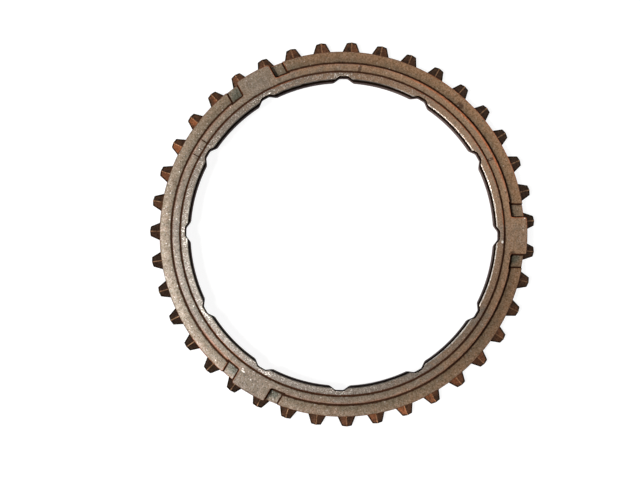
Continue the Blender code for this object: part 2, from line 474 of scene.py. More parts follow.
def raised(plan, level):
    """A ring of points at a height, from their places in plan."""
    return [(x, y, level) for x, y in plan]


def pocket_wall(section, lugs):
    """Radius of the wall behind the pockets."""
    return section.middle_radius - lugs.pocket_undercut


def bar_plan(near, far, half):
    """Plan of a straight bar along +X, with half its width on each side."""
    return [(near, -half), (far, -half), (far, half), (near, half)]


def pocket_rings(section, lugs):
    """Outlines, from the lowest up, of the span that both pockets of a lug take up."""
    inner = section.band_radius - CUT_CLEARANCE
    outer = section.rim_radius + 2 * CUT_CLEARANCE
    stack = [(section.pocket_level - CUT_CLEARANCE, 0.0)]
    stack += [(section.outer_level + height, inset) for height, inset in edge_profile(lugs.pocket_edge)]
    stack.append((section.middle_level + 2 * CUT_CLEARANCE, stack[-1][1]))
    return [raised(bar_plan(inner, outer, lugs.pocket_reach + grow), level) for level, grow in stack]


def lug_outline(section, lugs, inset):
    """Plan of a lug: parallel sides, rounded outer corners, and fillets where it leaves the land."""
    half = lugs.half_width - inset
    fillet = lugs.root_fillet + inset
    root = math.sqrt(pocket_wall(section, lugs) ** 2 - (half + fillet) ** 2)
    end = math.sqrt(section.rim_radius**2 - half**2)
    side = [(section.band_radius, half + fillet)]
    side += arc((root + fillet, half + fillet), fillet, math.pi, 1.5 * math.pi)
    side += [(end + height, half - cut) for height, cut in edge_profile(lugs.corner_radius, CUT_CLEARANCE)]
    return side + [(x, -y) for x, y in reversed(side)]


def lug_rings(section, lugs):
    """Outlines, from the lowest up, of the body that keeps the milling off a lug."""
    foot = [(section.pocket_level - height, -inset) for height, inset in edge_profile(lugs.floor_fillet)]
    upper = [(section.middle_level + height, inset) for height, inset in edge_profile(lugs.edge)]
    return [raised(lug_outline(section, lugs, inset), level) for level, inset in foot[::-1] + upper]


def tooth_rings(section, teeth):
    """Cross-sections of a tooth from its root out to its tip."""
    tip = teeth.tip_radius
    stations = [(section.rim_radius - teeth.root_overlap, 0.0)]
    for step in range(ARC_STEPS + 1):
        turn = math.pi / 2 * step / ARC_STEPS
        stations.append((tip - teeth.tip_edge * (1 - math.sin(turn)), teeth.tip_edge * (1 - math.cos(turn))))
    rings = []
    for radius, inset in stations:
        half = teeth.tip_width / 2 + (tip - radius) * math.tan(teeth.flank_angle) - inset
        low = teeth.underside_level + inset
        ridge = teeth.ridge_level - inset
        eaves = ridge - half * math.tan(teeth.roof_slope)
        outline = rounded_outline([
            (-half, low, teeth.side_edge),
            (half, low, teeth.side_edge),
            (half, eaves, teeth.side_edge),
            (0.0, ridge, teeth.ridge_edge),
            (-half, eaves, teeth.side_edge),
        ])
        rings.append([(radius, y, z) for y, z in outline])
    return rings


def groove_outline(section, grooves, level, grow):
    """Plan of a groove at one height: floor, round corners, flanks, and a mouth that opens wider."""
    lean = math.pi / 2 - grooves.flank_angle
    deepening = (grooves.depth_at_gear - grooves.depth_at_hub) / section.hub_level
    bore = section.bore_radius_at(level)
    floor = bore + grooves.depth_at_gear - level * deepening + grow
    setback = math.tan(lean / 2)
    corner_y = grooves.floor_width / 2 + (grow - grooves.corner_radius) * setback
    side = arc((floor - grooves.corner_radius, corner_y), grooves.corner_radius, 0.0, lean)
    for x, share in ((bore + SLOPE_CLEARANCE, 1.0), (bore - CUT_CLEARANCE, MOUTH_SHARE)):
        last_x, last_y = side[-1]
        side.append((x, last_y + (last_x - x) / math.tan(lean * share)))
    return [(x, -y) for x, y in reversed(side)] + side


def groove_rings(section, grooves):
    """Outlines, from the gear face up, of the body that cuts an oil groove."""
    edge = edge_profile(grooves.edge)
    stack = [(-CUT_CLEARANCE, edge[-1][1])]
    stack += [(-height, inset) for height, inset in reversed(edge)]
    stack += [(section.hub_level + height, inset) for height, inset in edge]
    stack.append((section.hub_level + CUT_CLEARANCE, edge[-1][1]))
    return [raised(groove_outline(section, grooves, level, grow), level) for level, grow in stack]


def stamp_body(section):
    """Wedges that cut the stamped strokes, each a radial line with sloping ends."""
    form = bmesh.new()
    for degrees, inner, outer in STAMP_STROKES:
        spin = Matrix.Rotation(math.radians(degrees), 2)
        rings = []
        for side in (-1, 1):
            slope = STAMP_DEPTH * side
            level = section.middle_level + slope
            plan = bar_plan(inner - slope, outer + slope, STAMP_HALF_WIDTH * (1 + STAMP_TAPER * side))
            rings.append([(*(spin @ Vector(point)), level) for point in plan])
        add_skin(form, rings)
    return finished_object("stamp_strokes", form)


def add_skin(form, rings):
    """Close a body over a row of rings of points, each with as many points as the first."""
    rows = [[form.verts.new(point) for point in ring] for ring in rings]
    for low, high in zip(rows, rows[1:]):
        for index in range(len(low)):
            form.faces.new((low[index - 1], low[index], high[index], high[index - 1]))
    form.faces.new(rows[0])
    form.faces.new(rows[-1])


def finished_object(name, form):
    """A new object from a mesh form, with its faces turned outwards."""
    bmesh.ops.recalc_face_normals(form, faces=form.faces)
    mesh = bpy.data.meshes.new(name)
    form.to_mesh(mesh)
    form.free()
    return linked_object(name, mesh)


def linked_object(name, data):
    item = bpy.data.objects.new(name, data)
    bpy.context.scene.collection.objects.link(item)
    return item


def skinned_body(name, rings):
    form = bmesh.new()
    add_skin(form, rings)
    return finished_object(name, form)


def drawn_section(name, outline):
    """A half section as a loop of edges in the XZ plane."""
    mesh = bpy.data.meshes.new(name)
    edges = [(index, (index + 1) % len(outline)) for index in range(len(outline))]
    mesh.from_pydata([(radius, 0.0, level) for radius, level in outline], edges, [])
    return linked_object(name, mesh)


# Node trees of the ring


def new_group(name, inputs):
    """An empty geometry tree with named inputs, listed by kind, and one geometry output."""
    tree = bpy.data.node_groups.new(name, "GeometryNodeTree")
    for kind, labels in inputs.items():
        for label in labels:
            tree.interface.new_socket(label, in_out="INPUT", socket_type=f"NodeSocket{kind}")
    tree.interface.new_socket("Mesh", in_out="OUTPUT", socket_type="NodeSocketGeometry")
    sheet = NodeSheet(tree)
    given = tree.nodes.new("NodeGroupInput").outputs
    return sheet, given


def turned_body_group():
    """A drawn half section, swept round a circular path."""
    sheet, given = new_group("Turned Body", {
        "Object": ["Section"],
        "Float": ["Path Radius", "Start Angle"],
        "Int": ["Steps"],
    })
    drawn = sheet.add("GeometryNodeObjectInfo", {"Object": given["Section"]}, output="Geometry")
    inwards = sheet.point(x=sheet.times(given["Path Radius"], -1.0))
    laid_flat = sheet.add("GeometryNodeTransform", {
        "Geometry": drawn,
        "Translation": inwards,
        "Rotation": (math.pi / 2, 0.0, 0.0),
    })
    profile = sheet.add("GeometryNodeMeshToCurve", {"Mesh": laid_flat})
    circle = sheet.add("GeometryNodeCurvePrimitiveCircle", {
        "Resolution": given["Steps"],
        "Radius": given["Path Radius"],
    })
    path = sheet.add("GeometryNodeSetCurveNormal", {"Curve": circle}, mode="Z_UP")
    swept = sheet.add("GeometryNodeCurveToMesh", {"Curve": path, "Profile Curve": profile})
    turn = sheet.point(z=given["Start Angle"])
    turned = sheet.add("GeometryNodeTransform", {"Geometry": swept, "Rotation": turn})
    sheet.node("NodeGroupOutput", {"Mesh": turned})
    return sheet.tree


def repeated_body_group():
    """A body repeated evenly about the axis."""
    sheet, given = new_group("Repeated Body", {
        "Object": ["Body"],
        "Int": ["Count"],
        "Float": ["First Angle"],
    })
    body = sheet.add("GeometryNodeObjectInfo", {"Object": given["Body"]}, output="Geometry")
    points = sheet.add("GeometryNodePoints", {"Count": given["Count"]})
    pitch = sheet.math("DIVIDE", math.tau, given["Count"])
    place = sheet.math("MULTIPLY_ADD", sheet.add("GeometryNodeInputIndex"), pitch, given["First Angle"])
    turn = sheet.add("FunctionNodeAxisAngleToRotation", {"Axis": (0.0, 0.0, 1.0), "Angle": place})
    copies = sheet.add("GeometryNodeInstanceOnPoints", {"Points": points, "Instance": body, "Rotation": turn})
    sheet.node("NodeGroupOutput", {"Mesh": sheet.add("GeometryNodeRealizeInstances", {"Geometry": copies})})
    return sheet.tree


def forged_ring_group():
    """The turned ring, milled down between its lugs, with teeth joined on and grooves cut."""
    sheet, given = new_group("Forged Ring", {
        "Object": [
            "Ring Section", "Land Section", "Pocket Section", "Pocket Span",
            "Lug", "Tooth", "Groove", "Stamp",
        ],
        "Float": ["Path Radius"],
        "Int": ["Steps", "Lugs", "Teeth", "Grooves"],
        "Material": ["Steel"],
    })
    turning = turned_body_group()
    repeating = repeated_body_group()
    half_step = sheet.math("DIVIDE", math.pi, given["Steps"])
    half_tooth = sheet.math("DIVIDE", math.pi, given["Teeth"])

    def turned(section, start):
        inputs = {
            "Section": given[section],
            "Path Radius": given["Path Radius"],
            "Steps": given["Steps"],
            "Start Angle": start,
        }
        return sheet.add("GeometryNodeGroup", inputs, node_tree=turning)

    def repeated(body, number, first_angle):
        inputs = {"Body": given[body], "Count": given[number], "First Angle": first_angle}
        return sheet.add("GeometryNodeGroup", inputs, node_tree=repeating)

    def less(body, tool):
        inputs = {0: body, 1: tool}
        return sheet.add("GeometryNodeMeshBoolean", inputs, operation="DIFFERENCE", solver="EXACT")

    def both(operation, body, other):
        """Join or intersect two bodies, which share the one input that takes several."""
        made = sheet.node("GeometryNodeMeshBoolean", {1: body}, operation=operation, solver="EXACT")
        sheet.feed(made.inputs[1], other)
        return made.outputs[0]

    pockets = both("INTERSECT", turned("Pocket Section", 0.0), repeated("Pocket Span", "Lugs", 0.0))
    milled = less(both("UNION", turned("Land Section", 0.0), pockets), repeated("Lug", "Lugs", 0.0))
    stepped = less(turned("Ring Section", half_step), milled)
    toothed = both("UNION", stepped, repeated("Tooth", "Teeth", half_tooth))
    grooved = less(toothed, repeated("Groove", "Grooves", 0.0))
    strokes = sheet.add("GeometryNodeObjectInfo", {"Object": given["Stamp"]}, output="Geometry")
    stamped = less(grooved, strokes)
    realized = sheet.add("GeometryNodeRealizeInstances", {"Geometry": stamped})
    finished = sheet.add("GeometryNodeSetMaterial", {"Geometry": realized, "Material": given["Steel"]})
    sheet.node("NodeGroupOutput", {"Mesh": finished})
    return sheet.tree


def built_mesh(name, tree, values):
    """The plain mesh that a geometry tree makes from these values of its named inputs."""
    holder = linked_object(name, bpy.data.meshes.new(name))
    modifier = holder.modifiers.new(name, "NODES")
    modifier.node_group = tree
    for item in tree.interface.items_tree:
        if item.in_out == "INPUT":
            modifier[item.identifier] = values[item.name]
    graph = bpy.context.evaluated_depsgraph_get()
    mesh = bpy.data.meshes.new_from_object(holder.evaluated_get(graph))
    mesh.name = name
    bpy.data.objects.remove(holder)
    if not mesh.polygons:
        raise RuntimeError(f"The tree {tree.name} made no faces")
    return mesh


# Finish of the steel

# Which side of its end a line lies on, as the operation that holds a coordinate at the end elsewhere
BEYOND = "MINIMUM"
WITHIN = "MAXIMUM"


class SteelSheet(NodeSheet):
    """The steel's node tree, with the ring's own coordinates and sizes in millimetres."""

    def __init__(self, tree, settings):
        super().__init__(tree)
        self.settings = settings
        section = settings.section
        lugs = settings.lugs
        self.band = section.band_radius / MM
        self.middle = section.middle_radius / MM
        self.rim = section.rim_radius / MM
        self.pocket_wall = pocket_wall(section, lugs) / MM
        self.lug_side = lugs.half_width / MM
        self.pocket_end = lugs.pocket_reach / MM
        self.floor_level = section.pocket_level / MM
        self.outer_level = section.outer_level / MM
        self.middle_level = section.middle_level / MM
        self.hub_level = section.hub_level / MM
        coordinates = tree.nodes.new("ShaderNodeTexCoord").outputs
        self.place = self.vector("MULTIPLY", coordinates["Object"], (1 / MM, 1 / MM, 1 / MM))
        x, y, self.level = self.parts(self.place)
        flat = self.point(x, y)
        self.radius = self.vector("LENGTH", flat)
        self.turn = self.math("ARCTAN2", y, x)
        facing = coordinates["Normal"]
        self.up = self.parts(facing)[2]
        self.upright = self.ramp(self.math("ABSOLUTE", self.up), 0.76, 0.5)
        self.out = self.vector("DOT_PRODUCT", facing, self.vector("NORMALIZE", flat))
        self.beside_lug = self.beside(lugs.number)
        self.beside_tooth = self.beside(settings.teeth.number, math.pi / settings.teeth.number)
        self.beside_groove = self.beside(settings.grooves.number)
        self.clouds = self.noise(0.12, seed=1.0)
        self.patches = self.noise(0.55, detail=5.0, roughness=0.6, seed=2.0)
        self.blots = self.noise(1.3, detail=4.0, roughness=0.6, seed=3.0)
        self.grain = self.noise(3.0, detail=3.0, roughness=0.7, seed=4.0)
        self.waver = self.math("MULTIPLY_ADD", self.blots, 0.36, -0.18)

    def parts(self, vector):
        return self.node("ShaderNodeSeparateXYZ", {0: vector}).outputs

    def ragged(self, distance):
        """A distance that wavers a little, so that what it bounds gets a ragged rim."""
        return self.math("ADD", distance, self.waver)

    def along(self, degrees):
        """Distance in mm from the axis in a level direction."""
        turn = math.radians(degrees)
        return self.vector("DOT_PRODUCT", self.place, (math.cos(turn), math.sin(turn), 0.0))

    def turn_from(self, first, pitch=math.tau):
        """Angle about the axis from the nearest of some lines a pitch apart."""
        return self.math("WRAP", self.math("SUBTRACT", self.turn, first), pitch / 2, -pitch / 2)

    def beside(self, number, first=0.0):
        """Distance in mm from the centre line of the nearest of some evenly spaced forms."""
        nearest = self.turn_from(first, math.tau / number)
        return self.math("ABSOLUTE", self.times(self.radius, self.math("SINE", nearest)))

    def line_distance(self, across, place, level, along=0.0, end=0.0, side=BEYOND):
        """Distance in mm from a line at a place and level, which lies on one side of its end."""
        here = self.point(across, self.level, self.math(side, along, end))
        return self.vector("DISTANCE", here, (place, level, end))

    def noise(self, scale, detail=3.0, roughness=0.5, seed=0.0):
        return self.add("ShaderNodeTexNoise", {
            "Vector": self.place,
            "W": seed,
            "Scale": scale,
            "Detail": detail,
            "Roughness": roughness,
        }, noise_dimensions="4D")

    def spots(self, scale, size, share, seed):
        """1 on round spots of a size in mm, in a share of the cells of a random pattern seen from above."""
        moved = self.vector("ADD", self.place, (100.0 * seed, 0.0, 0.0))
        cells = self.node(
            "ShaderNodeTexVoronoi", {"Vector": moved, "Scale": scale}, voronoi_dimensions="2D"
        ).outputs
        chance, spread = self.parts(cells["Color"])[:2]
        reach = self.times(self.scaled(spread, 0.0, 1.0, 0.5, 1.2), size / 2 * scale)
        spot = self.ramp(cells["Distance"], reach, self.times(reach, 0.5))
        return self.times(spot, self.ramp(chance, 1 - share, 1.02 - share))

    def mark(self, degrees, radius, across, along):
        """1 within an oval at a place on the lands, ragged at its rim."""
        off_radius = self.math("DIVIDE", self.math("SUBTRACT", self.radius, radius), across)
        off_turn = self.math("DIVIDE", self.times(self.turn_from(math.radians(degrees)), radius), along)
        return self.ramp(self.ragged(self.vector("LENGTH", self.point(off_radius, off_turn))), 1.1, 0.6)

    def marks(self, places, share, tint):
        """A coat (share, colour) for each of some marks."""
        return [(self.times(self.mark(*place), share), tint) for place in places]

    def coated(self, shade, *coats):
        """A shade with coats (share, colour) laid over it, each over the last."""
        for share, tint in coats:
            shade = self.mix(share, shade, tint)
        return shade

    def ramp(self, value, start, end):
        """0 up to start and 1 from end on, smooth between them. It falls where end is below start."""
        return self.scaled(value, start, end, 0.0, 1.0, interpolation_type="SMOOTHSTEP")

    def scaled(self, value, start, end, low, high, **settings):
        return self.add("ShaderNodeMapRange", {
            "Value": value,
            "From Min": start,
            "From Max": end,
            "To Min": low,
            "To Max": high,
        }, **settings)

    def mix(self, share, low, high, blend="MIX"):
        made = self.node("ShaderNodeMix", {0: share}, data_type="RGBA", blend_type=blend)
        for socket, shade in ((6, low), (7, high)):
            if not isinstance(shade, bpy.types.NodeSocket):
                shade = (*shade, 1.0)
            self.feed(made.inputs[socket], shade)
        return made.outputs[2]


def rubbed_and_lit_edges(steel):
    """Distance in mm to the nearest of the edges that hands and gears have worn, some of them also painted
    with highlights.
    """
    from_axis = steel.radius
    from_lug = steel.beside_lug
    side, end, wall = steel.lug_side, steel.pocket_end, steel.pocket_wall
    rim, land, outer = steel.rim, steel.middle_level, steel.outer_level
    root = side + steel.settings.lugs.root_fillet / MM
    edges = (
        (from_axis, steel.band, steel.hub_level),
        (from_axis, steel.middle, land, from_lug, end),
        (from_axis, wall, land, from_lug, root),
        (from_axis, rim, outer, from_lug, end),
        (from_axis, rim, land, from_lug, side, WITHIN),
        (from_lug, side, land, from_axis, wall),
        (from_lug, end, outer, from_axis, wall),
        (from_axis, rim, steel.floor_level, from_lug, end, WITHIN),
    )
    return steel.least(*(steel.line_distance(*edge) for edge in edges))


def rubbed_and_lit_stretches(steel):
    """How bright the edges are: faintly worn all round, and more in some stretches, partly as painted
    highlights.
    """
    shares = [RUBBED_ALL_ROUND]
    for degrees, half_span, share in RUBBED_AND_LIT_STRETCHES:
        off = steel.math("ABSOLUTE", steel.turn_from(math.radians(degrees)))
        reach = math.radians(half_span)
        shares.append(steel.times(steel.ramp(off, reach * 1.25, reach * 0.8), share))
    return steel.most(*shares)


def corner_grime_and_shade(steel):
    """Distance to the nearest corner at the foot of a step, as a share of the reach of its old oil and
    painted shade.
    """
    from_axis = steel.radius
    from_lug = steel.beside_lug
    side, end = steel.lug_side, steel.pocket_end
    wall, floor = steel.pocket_wall, steel.floor_level
    corners = (
        (INNER_STEP_GRIME_AND_SHADE, from_axis, steel.band, steel.middle_level),
        (OUTER_STEP_GRIME_AND_SHADE, from_axis, steel.middle, steel.outer_level, from_lug, end),
        (POCKET_WALL_GRIME_AND_SHADE, from_axis, wall, floor, from_lug, end, WITHIN),
        (POCKET_SIDE_GRIME_AND_SHADE, from_lug, side, floor, from_axis, wall),
        (POCKET_SIDE_GRIME_AND_SHADE, from_lug, end, floor, from_axis, wall),
    )
    return steel.least(*(
        steel.math("DIVIDE", steel.line_distance(*corner), reach) for reach, *corner in corners
    ))


def step_stains_and_shade(steel):
    """How far old oil and painted shade spread over the lands from the foot of each step, with old oil also
    in a few blotches.
    """
    middle, band = steel.middle, steel.band
    by_outer_step = steel.times(
        steel.ramp(steel.ragged(steel.radius), middle + 2.7, middle + 1.2),
        steel.ramp(steel.radius, middle - 0.05, middle),
        steel.scaled(steel.level, steel.outer_level, steel.middle_level, 1.0, 0.35),
    )
    by_inner_step = steel.times(
        steel.ramp(steel.radius, band + 1.5, band + 0.8), steel.ramp(steel.radius, band, band + 0.05), 0.65
    )
    by_steps = steel.times(
        steel.most(by_outer_step, by_inner_step), steel.scaled(steel.patches, 0.35, 0.6, 0.6, 1.1)
    )
    blotches = steel.times(steel.ramp(steel.noise(0.9, seed=6.0), 0.58, 0.72), 0.6)
    return steel.most(by_steps, blotches)


def land_shade(steel, stained_and_shaded):
    """Blasted lands: brown to grey, more silvery towards the hub, with marks and rust, old oil and painted
    shade beside the steps, a painted shadow in one pocket corner and a painted highlight at one lug's edge.
    """
    finish = steel.settings.finish
    greyness = steel.total(
        steel.times(steel.clouds, 0.35),
        steel.times(steel.patches, 0.35),
        steel.times(steel.noise(2.4, seed=7.0), 0.3),
        steel.scaled(steel.along(BROWN_SIDE), 25.0, -5.0, -0.1, 0.1),
    )
    thin_oxide = steel.ramp(greyness, 0.4, 0.62)
    scoured = steel.scaled(steel.level, steel.outer_level + 0.5, steel.hub_level, 0.0, 1.0)
    by_groove = steel.times(
        steel.ramp(steel.beside_groove, 3.2, 1.6), steel.ramp(steel.blots, 0.4, 0.55), 0.35
    )
    silver = steel.total(steel.times(thin_oxide, 0.55), by_groove, 0.38)
    in_pocket = steel.ramp(steel.level, steel.outer_level - 0.2, steel.floor_level + 0.2)
    strokes = [
        (degrees, (inner + outer) / 2 / MM, (outer - inner) / 2 / MM + 0.3, 2 * STAMP_HALF_WIDTH / MM)
        for degrees, inner, outer in STAMP_STROKES
    ]
    return steel.coated(
        steel.mix(thin_oxide, finish.brown, finish.grey),
        (steel.times(steel.ramp(steel.blots, 0.52, 0.7), 0.45), finish.rust),
        (steel.times(scoured, silver), finish.silver),
        # Old oil and painted shade beside the steps
        (steel.times(stained_and_shaded, 0.4), finish.stain_and_shade),
        (steel.times(in_pocket, 0.4), finish.pocket),
        *steel.marks(OILY_FLOORS, steel.times(in_pocket, 0.7), finish.oil),
        *steel.marks(STAINS_AND_SHADOW, 0.7, finish.grime_and_shade),
        *steel.marks(strokes, 0.95, finish.grime_and_shade),
        *steel.marks(SCRAPES_AND_HIGHLIGHT, 1.0, finish.bare_and_highlights),
        (steel.times(steel.spots(1.8, 0.3, 0.12, 5.0), 0.55), finish.rust),
        (steel.times(steel.spots(1.0, 0.5, 0.3, 1.0), 0.5), finish.stain_and_shade),
    )


def glints(steel):
    """Painted glints: bright facets of the blasted lands, most on the flash's side, closer together on the
    inner band and beside its grooves.
    """
    on_band = steel.ramp(steel.radius, steel.band + 0.05, steel.band - 0.05)
    by_groove = steel.scaled(steel.beside_groove, 4.0, 1.6, 0.45, 1.0)
    towards_light = steel.scaled(steel.along(BRIGHT_SIDE), -10.0, 30.0, 0.35, 1.0)
    scoured = steel.scaled(steel.along(GLINTING_BAND), -22.0, 0.0, 0.1, 0.85)
    share = steel.most(steel.times(towards_light, 0.12), steel.times(on_band, by_groove, scoured))
    fine = steel.times(steel.spots(3.2, 0.3, 0.4, 3.0), share)
    coarse = steel.times(
        steel.spots(1.4, 0.34, 0.16, 2.0), steel.ramp(steel.blots, 0.42, 0.6), towards_light, 0.75
    )
    return steel.most(coarse, fine)


def tooth_rim_oil_and_shade(steel):
    """How black the teeth are along their eaves and tips, from dried oil and painted shade."""
    teeth = steel.settings.teeth
    from_tip = steel.math("SUBTRACT", teeth.tip_radius / MM, steel.radius)
    half_width = steel.math("MULTIPLY_ADD", from_tip, math.tan(teeth.flank_angle), teeth.tip_width / 2 / MM)
    from_side = steel.math("SUBTRACT", half_width, steel.beside_tooth)
    nearest = steel.ragged(steel.least(from_side, from_tip))
    on_tooth = steel.ramp(steel.radius, steel.rim, steel.rim + 0.2)
    return steel.times(steel.ramp(nearest, 0.48, 0.26), on_tooth, 0.85)


def wall_shade(steel, rim_oil_and_shade):
    """Dark oxide on the walls and teeth, coppery where thin and painted with highlights, upright walls
    painted dark as shade, black eaves of dried oil and painted shade, and ridges worn and painted with
    highlights.
    """
    finish = steel.settings.finish
    # Teeth grow coppery towards both ends of an axis: thin oxide and a painted highlight
    towards_lit_teeth = steel.math("ABSOLUTE", steel.along(LIT_TEETH))
    worn = steel.times(steel.ramp(steel.patches, 0.3, 0.6), steel.scaled(towards_lit_teeth, 18.0, 42.0, 0.1, 1.0))
    ridge_level = steel.settings.teeth.ridge_level / MM
    ridge = steel.line_distance(steel.beside_tooth, 0.0, ridge_level, steel.radius, steel.rim + 0.1)
    # Ridges of the teeth: worn and painted as a highlight
    ridge_wear_and_highlight = steel.times(steel.ramp(ridge, 0.2, 0.08), steel.ramp(steel.grain, 0.3, 0.55), 0.8)
    return steel.coated(
        steel.mix(worn, finish.oxide, finish.copper_and_highlight),
        # Upright walls and rounded edges painted dark as shade
        (steel.times(steel.upright, 0.9), finish.grime_and_shade),
        (rim_oil_and_shade, finish.tar_and_shade),
        (ridge_wear_and_highlight, finish.ridge),
    )


def steel_tone(steel, flash_side_middle):
    """How much lighter or darker than its own colour the steel is, with painted shade on one side and on the
    middle land towards the flash.
    """
    on_middle = steel.scaled(steel.along(SCOURED_SIDE), -38.0, 38.0, 1.27, 1.06)
    on_band = steel.scaled(steel.along(BROWN_SIDE), 31.0, 36.0, 0.84, 1.0)
    return steel.times(
        steel.scaled(steel.grain, 0.3, 0.7, 0.55, 1.5),
        steel.scaled(steel.blots, 0.3, 0.7, 0.85, 1.15),
        steel.scaled(steel.level, steel.outer_level, steel.middle_level, 1.0, on_middle),
        steel.scaled(steel.level, steel.middle_level, steel.hub_level, 1.0, on_band),
        # Painted shade on one side of the ring
        steel.scaled(steel.along(SHADED_SIDE), 32.0, 42.0, 1.0, 0.8),
        # Painted shade on the middle land towards the flash
        steel.scaled(flash_side_middle, 0.0, 1.0, 1.0, 0.72),
        steel.scaled(steel.along(BROWN_SIDE), 20.0, 42.0, 1.0, 1.25),
    )


def pale_sheen(steel, on_land, stained_and_shaded, flash_side_middle):
    """Strength of the sheen where the steel is clean: strongest on the grains of the scoured band."""
    on_band = steel.scaled(steel.along(SCOURED_SIDE), 5.0, 32.0, 1.1, 1.8)
    return steel.times(
        steel.scaled(on_land, 0.0, 1.0, 0.25, steel.settings.finish.shine),
        steel.scaled(steel.grain, 0.37, 0.66, 0.0, 2.3),
        steel.scaled(stained_and_shaded, 0.0, 1.0, 1.15, 0.4),
        steel.scaled(steel.blots, 0.35, 0.65, 0.6, 1.35),
        steel.scaled(steel.along(SCOURED_SIDE), -5.0, 30.0, 0.75, 1.05),
        steel.scaled(steel.level, steel.outer_level, steel.middle_level, 1.0, 0.47),
        steel.scaled(flash_side_middle, 0.0, 1.0, 1.0, 1.65),
        steel.scaled(steel.level, steel.middle_level, steel.hub_level, 1.0, on_band),
    )


def surface_relief(steel, turned):
    """Bumps of the blasting, and the lathe's lines on the turned faces."""
    along_cut = steel.math("ADD", steel.radius, steel.level)
    lathe_lines = steel.math("SINE", steel.times(along_cut, math.tau / LATHE_PITCH))
    height = steel.total(
        steel.times(turned, lathe_lines, 0.06),
        steel.times(steel.noise(9.0, seed=5.0), 0.4),
        steel.times(steel.grain, 0.7),
    )
    return steel.add("ShaderNodeBump", {"Strength": 0.5, "Distance": 0.12 * MM, "Height": height})


def forged_steel(settings):
    """Blasted brown lands, dark oxide on the teeth, worn edges with painted highlights, painted glints, and
    old oil and painted shade in the corners.
    """
    finish = settings.finish
    material = bpy.data.materials.new("forged_steel")
    material.use_nodes = True
    steel = SteelSheet(material.node_tree, settings)
    above_teeth = steel.ramp(steel.level, steel.floor_level - 0.5, steel.floor_level - 0.2)
    below_teeth = steel.ramp(steel.level, 0.4, 0.2)
    level_face = steel.ramp(steel.math("ABSOLUTE", steel.up), 0.8, 0.97)
    on_land = steel.times(level_face, steel.most(above_teeth, below_teeth))
    on_cone = steel.ramp(steel.out, -0.15, -0.5)
    off_middle = steel.math("ABSOLUTE", steel.math("SUBTRACT", steel.level, steel.middle_level))
    # The middle land towards the flash: its colour painted darker as shade, its sheen stronger
    flash_side_middle = steel.times(steel.ramp(steel.along(BRIGHT_SIDE), 28.0, 39.0), steel.ramp(off_middle, 1.0, 0.2))
    stained_and_shaded = step_stains_and_shade(steel)
    # Black eaves and tips of the teeth: dried oil and painted shade
    rim_oil_and_shade = tooth_rim_oil_and_shade(steel)
    # Painted glints, most on the flash's side
    glinting = steel.times(glints(steel), on_land)
    # Worn edges, brighter in some stretches as painted highlights
    rubbed_and_lit = steel.times(
        steel.ramp(steel.ragged(rubbed_and_lit_edges(steel)), 0.3, 0.11),
        steel.scaled(steel.patches, 0.35, 0.65, 0.4, 1.0),
        rubbed_and_lit_stretches(steel),
    )
    # Dark feet of the steps and pockets: old oil and painted shade
    dirt_and_shade = steel.times(steel.ramp(steel.ragged(corner_grime_and_shade(steel)), 1.05, 0.8), 0.97)
    bore_line = steel.line_distance(steel.radius, settings.section.bore_radius / MM, steel.hub_level)
    # Painted highlight along the bore's upper edge, on one side
    polished_highlight = steel.times(
        steel.ramp(steel.ragged(bore_line), 0.27, 0.12),
        steel.scaled(steel.along(BORE_HIGHLIGHT_SIDE), 12.0, 26.0, 0.12, 0.95),
    )

    shade = steel.coated(
        wall_shade(steel, rim_oil_and_shade),
        (on_land, land_shade(steel, stained_and_shaded)),
        (glinting, finish.bare_and_highlights),
        # The cone turns black towards the hub side: dried oil and painted shade
        (on_cone, steel.mix(steel.ramp(steel.level, 2.5, 5.5), finish.cone, finish.tar_and_shade)),
        (rubbed_and_lit, finish.edge),
        (dirt_and_shade, finish.grime_and_shade),
        (polished_highlight, finish.bare_and_highlights),
    )
    tone = steel_tone(steel, flash_side_middle)

    clean = steel.math("SUBTRACT", 1.0, steel.most(dirt_and_shade, on_cone, steel.upright, rim_oil_and_shade))
    sheen = steel.times(clean, pale_sheen(steel, on_land, stained_and_shaded, flash_side_middle))
    on_roof = steel.times(steel.ramp(steel.up, 0.5, 0.7), steel.math("SUBTRACT", 1.0, on_land))
    metal = steel.scaled(on_roof, 0.0, 1.0, finish.metallic, finish.tooth_metallic)
    bright = steel.most(polished_highlight, steel.times(steel.most(glinting, rubbed_and_lit), 0.5))
    worn = steel.scaled(steel.patches, 0.3, 0.7, 0.3, 0.36)
    steel.surface({
        "Base Color": steel.mix(1.0, shade, steel.point(tone, tone, tone), "MULTIPLY"),
        "Metallic": steel.times(clean, steel.most(metal, bright)),
        "Roughness": steel.math("SUBTRACT", worn, steel.times(bright, 0.12)),
        "Specular IOR Level": steel.most(sheen, polished_highlight),
        "Normal": surface_relief(steel, steel.most(on_cone, below_teeth)),
    })
    return material


